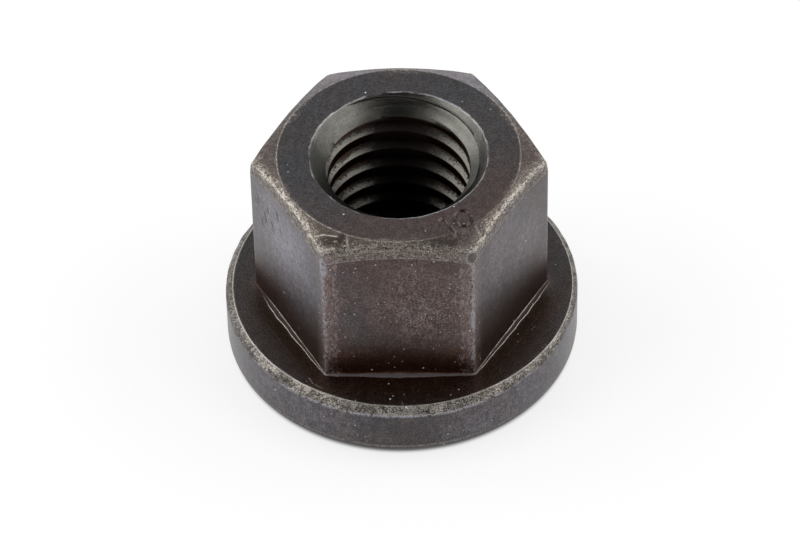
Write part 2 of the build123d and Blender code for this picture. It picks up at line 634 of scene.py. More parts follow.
    def assemble(self) -> tuple[np.ndarray, np.ndarray, np.ndarray, dict[Attribute, np.ndarray]]:
        """Joins the outside and the bore into one closed surface.

        Returns:
            Vertices in millimetres, triangles and quads as four corners (a triangle repeats its
            last one), the zone of each face, and the attributes of the vertices.
        """
        angle = self.angles()
        columns = len(angle)
        section, marks = self.outside_section(angle)
        outside = self.place(section[..., 0], section[..., 1], angle)
        length = np.linalg.norm(np.diff(section, axis=0), axis=-1)
        length = np.concatenate([np.zeros((1, columns)), np.cumsum(length, axis=0)])

        heights, cut, per_turn = self.bore_rows(angle)
        bore = self.place(self.thread.radius(angle, heights), heights, angle)
        rows = len(outside)
        outside_ids = np.arange(rows * columns).reshape(rows, columns)
        bore_ids = rows * columns + np.arange(heights.size).reshape(heights.shape)
        bore_ids = np.where(cut < 0, bore_ids[0], bore_ids)
        bore_ids = np.where(cut > 0, bore_ids[-1], bore_ids)
        outside_faces = self.quads(outside_ids, np.roll(outside_ids, -1, axis=1))
        shifted = np.roll(bore_ids, -1, axis=1)
        shifted[:, -1] = np.concatenate([bore_ids[per_turn:, 0], np.repeat(bore_ids[-1, 0], per_turn)])
        bore_faces = self.quads(bore_ids, shifted)
        joints = [
            self.quads(np.stack([first, second]), np.roll(np.stack([first, second]), -1, axis=1))
            for first, second in ((outside_ids[-1], bore_ids[0]), (bore_ids[-1], outside_ids[0]))
        ]
        faces = np.concatenate([outside_faces, bore_faces, *joints])
        zones = np.full(len(faces), Zone.BORE.value)
        zones[:len(outside_faces)] = Zone.OUTSIDE.value

        points = np.concatenate([outside.reshape(-1, 3), bore.reshape(-1, 3)])
        attributes = self.attributes(points, length, marks, heights, angle)
        return points, faces, zones, attributes

    def attributes(
        self, points: np.ndarray, length: np.ndarray, marks: dict[str, int], heights: np.ndarray, angle: np.ndarray
    ) -> dict[Attribute, np.ndarray]:
        """Distances along the section from each named edge, and the shares that tint the surface.

        Args:
            points: All vertices, those of the outside first.
            length: Way along the section to each row of the outside, by row and column.
            marks: Row of each named edge.
            heights: Heights of the bore's rows, by row and column.
            angle: Angles of the columns.

        Returns:
            One number for each vertex and attribute.
        """
        bore = heights.size
        far = np.full(bore, FAR)
        made: dict[Attribute, np.ndarray] = {}
        named = {
            Attribute.RIDGE: "ridge", Attribute.CIRCLE: "circle", Attribute.FOOT: "upper_hollow",
            Attribute.BASE: "base",
        }
        for attribute, name in named.items():
            along = length - length[marks[name]]
            made[attribute] = np.concatenate([np.clip(along, -FAR, FAR).ravel(), far])
        band = length[marks["side"]] - length[marks["rim"]]
        along = (length - length[marks["rim"]]) * self.collar.band_length / band
        made[Attribute.RIM] = np.concatenate([np.clip(along, -FAR, FAR).ravel(), far])
        whole = self.collar.foot.length()
        span = length[marks["ledge"]] - length[marks["upper_hollow"]]
        along = (length - length[marks["upper_hollow"]]) * whole / span + 0.015 * ripple(points[:-bore], 0.8, 32).reshape(length.shape)
        made[Attribute.STEP] = np.concatenate([np.clip(along, -FAR, FAR).ravel(), far])
        cone = (np.minimum(heights, self.thread.height - heights) * -math.sqrt(2)).ravel()
        made[Attribute.MOUTH] = np.concatenate([np.clip(length, -FAR, FAR).ravel(), np.maximum(cone, -FAR)])

        sixth = np.pi / 3
        away = np.abs((angle + sixth / 2) % sixth - sixth / 2)
        row = np.arange(len(length))[:, None]
        on_flats = (row >= marks["edge"]) & (row < marks["ledge"])
        corner = np.where(on_flats, self.hexagon.reach(angle) * np.sin(away), FAR)
        made[Attribute.CORNER] = np.concatenate([np.clip(corner, 0, FAR).ravel(), far])
        at_corner = np.exp(-((self.hexagon.reach(angle) * np.sin(away) / 0.55) ** 2))
        ridge = np.array(WEAR_BY_FLAT)[(np.degrees(angle) // 60).astype(int) % 6]
        wear = np.where(row < marks["chamfer"] + 2, self.by_angle(CIRCLE_WEAR, angle), np.maximum(ridge, 0.9 * at_corner))
        # On the foot: the brightness of the two lines, partly painted highlight.
        wear = np.where(row < marks["step"] - 1, wear, self.by_angle(FOOT_LINES, angle))
        wear = np.where(row < marks["ledge"] + 1, wear, self.by_angle(RIM_WEAR, angle))
        made[Attribute.WEAR] = np.concatenate([wear.ravel(), 0 * far])
        in_front = smoothstep(-np.sin(angle), 0.78, 0.88) + 0.0 * length
        in_front = np.where(row > marks["lower_hollow"], smoothstep(-np.sin(angle), 0.82, 0.96), in_front)
        made[Attribute.FRONT] = np.concatenate([in_front.ravel(), 0 * far])
        brown = self.brown_share(row, marks, angle)
        outside = points[:-bore]
        slate = sum(patch.share(outside) for patch in SLATE_PATCHES)
        stain = np.clip(brown.ravel() * (1 - np.minimum(slate, 1)) + 0.11 * ripple(outside, 3.4, 31), 0, 1)
        # In the bore: the share of painted shade, by angle.
        bore_shade_share = self.by_angle(BORE_SHADE, angle) + 0.0 * heights
        made[Attribute.STAIN_AND_SHADE] = np.concatenate([stain, bore_shade_share.ravel()])
        # Haze share: rubbed haze on the front flat, painted sheen on the side and back flats.
        haze = np.zeros(len(outside))
        for patch in HAZE_AND_SHEEN_PATCHES:
            haze = np.maximum(haze, patch.share(outside))
        haze = np.where(on_flats, haze.reshape(length.shape), 0.0)
        # Painted sheen on the chamfer, strongest at the back and weakest at the front left.
        left = smoothstep(-np.cos(angle), 0.2, 0.8) * smoothstep(-np.sin(angle), 0.0, 0.4)
        back = 0.20 - 0.10 * left + 0.65 * smoothstep(np.sin(angle), 0.3, 0.9)
        haze = np.where((row >= marks["chamfer"]) & (row < marks["edge"]), back, haze)
        # Painted reflection of the floor on the collar's side, strongest to the left and right.
        beside = 0.03 + 0.29 * smoothstep(np.abs(np.cos(angle)), 0.10, 0.45)
        haze = np.where((row >= marks["side"]) & (row < marks["base"]), beside, haze)
        made[Attribute.HAZE] = np.concatenate([haze.ravel(), np.zeros(bore)])
        depth = np.hypot(points[-bore:, 0], points[-bore:, 1]) - self.thread.crest_radius
        made[Attribute.DEPTH] = np.concatenate([np.zeros(len(outside)), depth])
        score = self.thread.score(angle, heights).ravel()
        made[Attribute.SCORE] = np.concatenate([np.zeros(len(outside)), score])
        return made

    @staticmethod
    def by_angle(table: tuple[tuple[float, float], ...], angle: np.ndarray) -> np.ndarray:
        """Values of a table by angle in degrees, read at angles in radians."""
        degrees, values = zip(*table)
        return np.interp(np.degrees(angle), degrees, values, period=360)

    @staticmethod
    def brown_share(row: np.ndarray, marks: dict[str, int], angle: np.ndarray) -> np.ndarray:
        """How brown the oxide is on each surface of the outside, from 0, slate, to 1, brown.

        Args:
            row: Numbers of the rows, as a column.
            marks: Row of each named edge.
            angle: Angles of the columns.

        Returns:
            Shares by row and column.
        """
        front = smoothstep(-np.sin(angle), -0.2, 1.0)
        front_right = smoothstep(-np.sin(angle - np.pi / 6), -0.1, 1.0)
        not_back = smoothstep(-np.sin(angle), -0.75, -0.05)
        sector = (np.degrees(angle) // 60).astype(int) % 6
        down = smoothstep((row - marks["flat"]) / (marks["step"] - marks["flat"]), 0.35, 0.95)
        flat = np.array(BROWN_BY_FLAT)[sector]
        flat = flat + np.maximum(0.85 - flat, 0.0) * down
        areas = [
            (marks["chamfer"], 0.10 + 0.62 * front_right),
            (marks["edge"], 0.15 + 0.75 * not_back),
            (marks["flat"], 0.20 + 0.55 * not_back),
            (marks["ledge"], flat),
            (marks["rim"], 0.30 + 0.70 * front),
            (marks["bearing"], 0.08 + 0.14 * front),
        ]
        share = np.full((len(row), len(angle)), 0.3)
        for last, value in reversed(areas):
            share = np.where(row < last, value, share)
        return share

    @staticmethod
    def place(radius: np.ndarray, z: np.ndarray, angle: np.ndarray) -> np.ndarray:
        """Points at radii and heights, by row and column, on the columns' angles."""
        return np.stack([radius * np.cos(angle), radius * np.sin(angle), z], axis=-1)

    @staticmethod
    def quads(ids: np.ndarray, following: np.ndarray) -> np.ndarray:
        """Faces between each row and the next, and between each column and the one that follows.

        Args:
            ids: Vertex numbers by row and column.
            following: Vertex numbers of the next column, by row and column.

        Returns:
            Four corners for each face, in an order that faces outwards.
        """
        return np.stack([ids[:-1], ids[1:], following[1:], following[:-1]], axis=-1).reshape(-1, 4)

    def relief(self, points: np.ndarray, normals: np.ndarray) -> np.ndarray:
        """Moves the skin inwards by its hammered unevenness, its dents and the stamped number.

        Args:
            points: Vertices in millimetres.
            normals: Unit normals of the vertices.

        Returns:
            The moved vertices.
        """
        radius = np.hypot(points[:, 0], points[:, 1])
        outside = (radius > self.thread.mouth_radius + 0.1) & (points[:, 2] > 0.05)
        sink = self.unevenness * (0.5 + 0.5 * ripple(points, 2.6, 21)) + 0.003 * (0.5 + 0.5 * ripple(points, 0.9, 22))
        for dent in self.dents:
            sink = sink + dent.sink(points)
        sink = np.where(outside, sink, 0.0)
        moved = points - normals * sink[:, None]
        on_top = points[:, 2] > self.hexagon.height - 0.9
        moved[:, 2] -= np.where(on_top & outside, self.stamp.sink(points), 0.0)
        return moved

    def build(self) -> bpy.types.Object:
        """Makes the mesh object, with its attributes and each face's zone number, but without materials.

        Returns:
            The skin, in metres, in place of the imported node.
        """
        points, faces, zones, attributes = self.assemble()
        count = np.array([len(set(face)) for face in faces.tolist()])
        faces, zones = faces[count >= 3], zones[count >= 3]
        used = np.unique(faces)
        renumber = np.zeros(len(points), dtype=int)
        renumber[used] = np.arange(len(used))
        points = points[used]
        faces = renumber[faces]
        points = self.relief(points, vertex_normals(points, faces))
        corners = [list(dict.fromkeys(face)) for face in faces.tolist()]

        mesh = bpy.data.meshes.new("collar_nut_skin")
        mesh.from_pydata(points * MM, [], corners)
        for attribute, values in attributes.items():
            layer = mesh.attributes.new(attribute.value, "FLOAT", "POINT")
            layer.data.foreach_set("value", values[used].astype(np.float32))
        mesh.polygons.foreach_set("material_index", zones.astype(np.int32))
        mesh.update()
        mesh.shade_smooth()
        mesh.set_sharp_from_angle(angle=math.radians(28))
        piece = bpy.data.objects.new("collar_nut_skin", mesh)
        bpy.context.scene.collection.objects.link(piece)
        return piece

    def dress(self, piece: bpy.types.Object, finishes: dict[Zone, bpy.types.Material]) -> None:
        """Gives each zone its finish, in the order of the zones' numbers.

        Args:
            piece: The skin.
            finishes: Material of each zone.
        """
        for zone in sorted(finishes, key=lambda zone: zone.value):
            piece.data.materials.append(finishes[zone])


def vertex_normals(points: np.ndarray, faces: np.ndarray) -> np.ndarray:
    """Unit normals of the vertices: the sum of the cross products of the diagonals of the faces around.

    Args:
        points: Vertices.
        faces: Four corners for each face; a triangle repeats one of them.

    Returns:
        One unit vector for each vertex.
    """
    a, b, c, d = (points[faces[:, k]] for k in range(4))
    cross = np.cross(c - a, d - b)
    total = np.zeros_like(points)
    for k in range(4):
        np.add.at(total, faces[:, k], cross)
    return total / np.maximum(np.linalg.norm(total, axis=1, keepdims=True), 1e-12)


class Board:
    """Adds nodes to a tree, so that a finish reads as a formula."""

    def __init__(self, tree: bpy.types.NodeTree) -> None:
        """Starts on a tree, and empties it."""
        self.tree = tree
        tree.nodes.clear()

    def node(self, kind: str, **settings: object) -> bpy.types.Node:
        """Adds a node of a kind and sets its properties."""
        made = self.tree.nodes.new(kind)
        for name, value in settings.items():
            setattr(made, name, value)
        return made

    def feed(self, socket: bpy.types.NodeSocket, value: Value) -> None:
        """Links a socket to another one, or sets its plain value."""
        if isinstance(value, bpy.types.NodeSocket):
            self.tree.links.new(value, socket)
        elif isinstance(value, tuple) and socket.type == "RGBA":
            socket.default_value = (*value[:3], 1.0)
        else:
            socket.default_value = value

    def math(self, operation: str, first: Value, second: Value = 0.0, clamp: bool = False) -> bpy.types.NodeSocket:
        """Result of a sum, product or other operation on one or two numbers."""
        made = self.node("ShaderNodeMath", operation=operation, use_clamp=clamp)
        self.feed(made.inputs[0], first)
        self.feed(made.inputs[1], second)
        return made.outputs[0]

    def vector(self, operation: str, first: Value, second: Value = (0.0, 0.0, 0.0)) -> bpy.types.Node:
        """Node of an operation on one or two vectors."""
        made = self.node("ShaderNodeVectorMath", operation=operation)
        self.feed(made.inputs[0], first)
        self.feed(made.inputs[1], second)
        return made

    def ease(self, value: Value, low: Value, high: Value, start: float = 0.0, end: float = 1.0) -> bpy.types.NodeSocket:
        """Smooth step of a number, from start at low to end at high."""
        made = self.node("ShaderNodeMapRange", interpolation_type="SMOOTHSTEP")
        for index, part in enumerate((value, low, high, start, end)):
            self.feed(made.inputs[index], part)
        return made.outputs[0]

    def mix(self, share: Value, first: Value, second: Value) -> bpy.types.NodeSocket:
        """Colour between two colours."""
        made = self.node("ShaderNodeMix", data_type="RGBA")
        self.feed(made.inputs[0], share)
        self.feed(made.inputs[6], first)
        self.feed(made.inputs[7], second)
        return made.outputs[2]

    def blend(self, share: Value, first: Value, second: Value) -> bpy.types.NodeSocket:
        """Number between two numbers."""
        made = self.node("ShaderNodeMix", data_type="FLOAT")
        self.feed(made.inputs[0], share)
        self.feed(made.inputs[2], first)
        self.feed(made.inputs[3], second)
        return made.outputs[0]

    def place(self) -> bpy.types.NodeSocket:
        """Place on the piece in millimetres, from its Object coordinates."""
        coordinates = self.node("ShaderNodeTexCoord")
        made = self.node("ShaderNodeVectorMath", operation="SCALE")
        self.feed(made.inputs[0], coordinates.outputs["Object"])
        made.inputs["Scale"].default_value = 1 / MM
        return made.outputs[0]

    def read(self, attribute: Attribute) -> bpy.types.NodeSocket:
        """Number that the skin carries for a place."""
        return self.node("ShaderNodeAttribute", attribute_name=attribute.value).outputs["Fac"]

    def noise(
        self, place: Value, size: float, detail: float = 2.0, roughness: float = 0.5, distortion: float = 0.0
    ) -> bpy.types.NodeSocket:
        """Noise between 0 and 1 whose blobs are about size millimetres wide."""
        made = self.node("ShaderNodeTexNoise")
        self.feed(made.inputs["Vector"], place)
        made.inputs["Scale"].default_value = 1 / size
        made.inputs["Detail"].default_value = detail
        made.inputs["Roughness"].default_value = roughness
        made.inputs["Distortion"].default_value = distortion
        return made.outputs[0]

    def group(self, tree: bpy.types.NodeTree, **inputs: Value) -> bpy.types.Node:
        """Places a node group and feeds its inputs, whose names have underscores for spaces."""
        made = self.node("ShaderNodeGroup", node_tree=tree)
        for name, value in inputs.items():
            self.feed(made.inputs[name.replace("_", " ")], value)
        return made


class Effect:
    """A shader node group with named sockets, and the board that it is drawn on."""

    def __init__(self, name: str, inputs: dict[str, tuple[str, object]], outputs: tuple[str, ...]) -> None:
        """Makes the empty group.

        Args:
            name: Name of the group.
            inputs: Type and default value of each input.
            outputs: Names of the outputs, which all are numbers.
        """
        self.tree = bpy.data.node_groups.new(name, "ShaderNodeTree")
        self.board = Board(self.tree)
        for label, (kind, value) in inputs.items():
            socket = self.tree.interface.new_socket(label, in_out="INPUT", socket_type=f"NodeSocket{kind}")
            socket.default_value = value
        for label in outputs:
            self.tree.interface.new_socket(label, in_out="OUTPUT", socket_type="NodeSocketFloat")
        self.entry = self.board.node("NodeGroupInput")
        self.exit = self.board.node("NodeGroupOutput")

    def input(self, name: str) -> bpy.types.NodeSocket:
        """Socket that brings an input into the group."""
        return self.entry.outputs[name]

    def output(self, name: str, value: bpy.types.NodeSocket) -> None:
        """Links the result to an output."""
        self.board.feed(self.exit.inputs[name], value)


@dataclass
class Effects:
    """Effects that both finishes share, each one a node group."""

    grain: bpy.types.NodeTree
    fibres: bpy.types.NodeTree
    worn_edge: bpy.types.NodeTree
    dust: bpy.types.NodeTree
    stroke: bpy.types.NodeTree

    @classmethod
    def make(cls) -> "Effects":
        """Builds the five groups once."""
        return cls(cls.make_grain(), cls.make_fibres(), cls.make_worn_edge(), cls.make_dust(), cls.make_stroke())

    @staticmethod
    def make_grain() -> bpy.types.NodeTree:
        """Grain of oxide on steel: fine pitting, coarse mottling and broad clouds.

        Returns:
            Group from Place to Fine, Coarse, Cloud and upright Streak, each from 0 to 1.
        """
        effect = Effect("oxide_grain", {"Place": ("Vector", (0, 0, 0)), "Size": ("Float", 1.0)},
                        ("Fine", "Coarse", "Cloud", "Streak"))
        board = effect.board
        scaled = board.vector("DIVIDE", effect.input("Place"), (1, 1, 1))
        wide = board.node("ShaderNodeCombineXYZ")
        for axis in range(3):
            board.feed(wide.inputs[axis], effect.input("Size"))
        board.feed(scaled.inputs[1], wide.outputs[0])
        place = scaled.outputs[0]
        fine = board.noise(place, 0.11, 3.0, 0.75)
        coarse = board.noise(place, 0.45, 5.0, 0.68)
        cloud = board.noise(place, 2.4, 3.0, 0.55, 0.6)
        effect.output("Fine", board.ease(fine, 0.34, 0.66))
        effect.output("Coarse", board.ease(coarse, 0.34, 0.66))
        effect.output("Cloud", board.ease(cloud, 0.36, 0.64))
        upright = board.vector("MULTIPLY", place, (1.0, 1.0, 0.42)).outputs[0]
        effect.output("Streak", board.ease(board.noise(upright, 0.12, 4.0, 0.75), 0.33, 0.67))
        return effect.tree

    @staticmethod
    def make_fibres() -> bpy.types.NodeTree:
        """Fibres along an edge: noise whose place moves fast across the edge and slowly along it.

        Returns:
            Group from Place and the Distance from the edge to a Fibre from 0 to 1.
        """
        effect = Effect("edge_fibres", {"Place": ("Vector", (0, 0, 0)), "Distance": ("Float", 0.0)}, ("Fibre",))
        board = effect.board
        across = board.node("ShaderNodeCombineXYZ")
        board.feed(across.inputs[2], board.math("MULTIPLY", effect.input("Distance"), 2.0))
        slow = board.vector("MULTIPLY", effect.input("Place"), (0.85, 0.85, 0.85)).outputs[0]
        moved = board.vector("ADD", slow, across.outputs[0]).outputs[0]
        effect.output("Fibre", board.ease(board.noise(moved, 0.24, 4.0, 0.72), 0.34, 0.66))
        return effect.tree

    @staticmethod
    def make_worn_edge() -> bpy.types.NodeTree:
        """Wear along an edge: full near the edge, and frayed by the grain where it ends.

        Returns:
            Group from the Distance from the edge to a Mask from 0 to 1.
        """
        effect = Effect(
            "worn_edge",
            {
                "Distance": ("Float", 1.0), "Centre": ("Float", 0.0), "Half width": ("Float", 0.3),
                "Softness": ("Float", 0.1), "Fray": ("Float", 0.2), "Grit": ("Float", 0.5),
            },
            ("Mask",),
        )
        board = effect.board
        away = board.math("ABSOLUTE", board.math("SUBTRACT", effect.input("Distance"), effect.input("Centre")))
        fray = board.math("MULTIPLY", board.math("SUBTRACT", effect.input("Grit"), 0.5), effect.input("Fray"))
        away = board.math("ADD", away, fray)
        near = board.math("SUBTRACT", effect.input("Half width"), effect.input("Softness"))
        far = board.math("ADD", effect.input("Half width"), effect.input("Softness"))
        effect.output("Mask", board.ease(away, near, far, 1.0, 0.0))
        return effect.tree

    @staticmethod
    def make_dust() -> bpy.types.NodeTree:
        """Stray specks of dust: small discs in a few of the cells of a random pattern.

        Returns:
            Group from Place, Spacing and Share to a Mask from 0 to 1.
        """
        effect = Effect(
            "dust_specks",
            {"Place": ("Vector", (0, 0, 0)), "Spacing": ("Float", 0.8), "Share": ("Float", 0.1), "Radius": ("Float", 0.05)},
            ("Mask",),
        )
        board = effect.board
        cells = board.node("ShaderNodeTexVoronoi", feature="F1")
        board.feed(cells.inputs["Vector"], effect.input("Place"))
        board.feed(cells.inputs["Scale"], board.math("DIVIDE", 1.0, effect.input("Spacing")))
        away = board.math("MULTIPLY", cells.outputs["Distance"], effect.input("Spacing"))
        colour = board.node("ShaderNodeSeparateColor")
        board.feed(colour.inputs[0], cells.outputs["Color"])
        size = board.math("MULTIPLY", effect.input("Radius"), board.math("ADD", colour.outputs[1], 0.4))
        disc = board.ease(away, board.math("MULTIPLY", size, 0.5), size, 1.0, 0.0)
        chosen = board.math("LESS_THAN", colour.outputs[0], effect.input("Share"))
        effect.output("Mask", board.math("MULTIPLY", disc, chosen))
        return effect.tree

    @staticmethod
    def make_stroke() -> bpy.types.NodeTree:
        """A single scratch or fleck: full along a straight stroke and gone at its half width.

        Returns:
            Group from Place, Start, End and Half width to a Mask from 0 to 1.
        """
        effect = Effect(
            "single_stroke",
            {
                "Place": ("Vector", (0, 0, 0)), "Start": ("Vector", (0, 0, 0)), "End": ("Vector", (1, 0, 0)),
                "Half width": ("Float", 0.05),
            },
            ("Mask",),
        )
        board = effect.board
        run = board.vector("SUBTRACT", effect.input("End"), effect.input("Start")).outputs[0]
        here = board.vector("SUBTRACT", effect.input("Place"), effect.input("Start")).outputs[0]
        along = board.math(
            "DIVIDE", board.vector("DOT_PRODUCT", here, run).outputs["Value"],
            board.vector("DOT_PRODUCT", run, run).outputs["Value"], clamp=True,
        )
        reach = board.node("ShaderNodeVectorMath", operation="SCALE")
        board.feed(reach.inputs[0], run)
        board.feed(reach.inputs["Scale"], along)
        away = board.vector("LENGTH", board.vector("SUBTRACT", here, reach.outputs[0]).outputs[0]).outputs["Value"]
        inner = board.math("MULTIPLY", effect.input("Half width"), 0.35)
        effect.output("Mask", board.ease(away, inner, effect.input("Half width"), 1.0, 0.0))
        return effect.tree


@dataclass(frozen=True)
class Layer:
    """Colour, gloss and metal of one layer of a finish."""

    colour: tuple[float, float, float]
    roughness: float
    metallic: float


@dataclass(frozen=True)
class Scratch:
    """Single stroke on the surface, in millimetres."""

    start: tuple[float, float, float]
    end: tuple[float, float, float]
    half_width: float
    strength: float = 0.8


LIGHT_SCRATCHES = (
    Scratch((-6.60, -4.36, 9.58), (-6.30, -4.88, 9.25), 0.045),
    Scratch((-6.06, -5.30, 9.05), (-5.97, -5.47, 8.92), 0.060),
    Scratch((-8.43, -3.45, 3.85), (-6.49, -6.67, 3.85), 0.024, 0.25),
    Scratch((8.70, -2.70, 3.85), (6.60, -6.35, 3.85), 0.020, 0.25),
    Scratch((-5.59, -8.17, 3.85), (-5.35, -8.62, 3.85), 0.050),
    Scratch((-5.20, -8.72, 3.85), (-4.72, -9.05, 3.85), 0.045),
    Scratch((0.10, -10.15, 3.85), (0.22, -10.42, 3.85), 0.050),
    Scratch((5.60, -4.85, 15.0), (5.35, -5.15, 15.0), 0.035),
    Scratch((-0.43, -7.90, 9.26), (0.20, -7.90, 8.95), 0.035, 0.6),
    Scratch((0.20, -7.90, 8.95), (0.70, -7.90, 8.60), 0.035, 0.5),
    Scratch((-4.45, -7.90, 8.85), (-4.10, -7.90, 8.60), 0.035, 0.6),
    Scratch((8.05, -4.20, 3.85), (8.30, -3.90, 3.85), 0.035, 0.7),
)

CHIP_EDGES = (
    Scratch((-4.94, -6.58, 14.64), (-4.44, -6.57, 14.78), 0.070, 0.8),
    Scratch((-4.44, -6.57, 14.78), (-3.61, -6.82, 14.87), 0.060, 0.8),
    Scratch((-3.79, -7.09, 14.73), (-3.67, -7.10, 14.74), 0.080, 1.0),
    Scratch((-3.01, -7.11, 14.87), (-2.97, -7.50, 14.70), 0.070, 0.35),
    Scratch((-4.45, -7.52, 14.41), (-3.79, -7.51, 14.56), 0.080, 0.8),
)
"""Bright edges of the chips on the chamfer at the front left corner."""

# Painted highlights on the front flat beside its corners, the largest just below the top of the left one.
PAINTED_CORNER_HIGHLIGHTS = (
    Scratch((-4.56, -7.90, 13.65), (-4.50, -7.90, 12.85), 0.36, 0.85),
    Scratch((-4.56, -7.90, 12.60), (-4.56, -7.90, 11.90), 0.16, 0.70),
    Scratch((4.50, -7.90, 9.30), (4.50, -7.90, 8.10), 0.22, 0.60),
)

DARK_PITS = (
    Scratch((-4.50, -7.02, 14.58), (-3.70, -7.14, 14.72), 0.46, 0.65),
    Scratch((-3.13, -7.00, 14.89), (-3.19, -7.74, 14.58), 0.085, 0.9),
    Scratch((2.20, -7.45, 14.82), (3.40, -7.30, 14.77), 0.40, 0.55),
    Scratch((-8.22, -1.56, 11.55), (-8.14, -1.70, 10.95), 0.19),
    Scratch((-7.40, -2.98, 13.00), (-7.34, -3.09, 12.55), 0.18),
    Scratch((-8.66, -0.80, 12.40), (-8.58, -0.94, 11.85), 0.15),
    Scratch((-7.78, -2.32, 11.50), (-7.68, -2.50, 11.00), 0.15),
    Scratch((-8.02, -1.91, 12.35), (-7.98, -1.98, 11.95), 0.12),
    Scratch((-8.45, -1.17, 10.70), (-8.38, -1.29, 10.20), 0.14),
    Scratch((-7.20, -3.33, 11.90), (-7.14, -3.43, 11.60), 0.10),
)


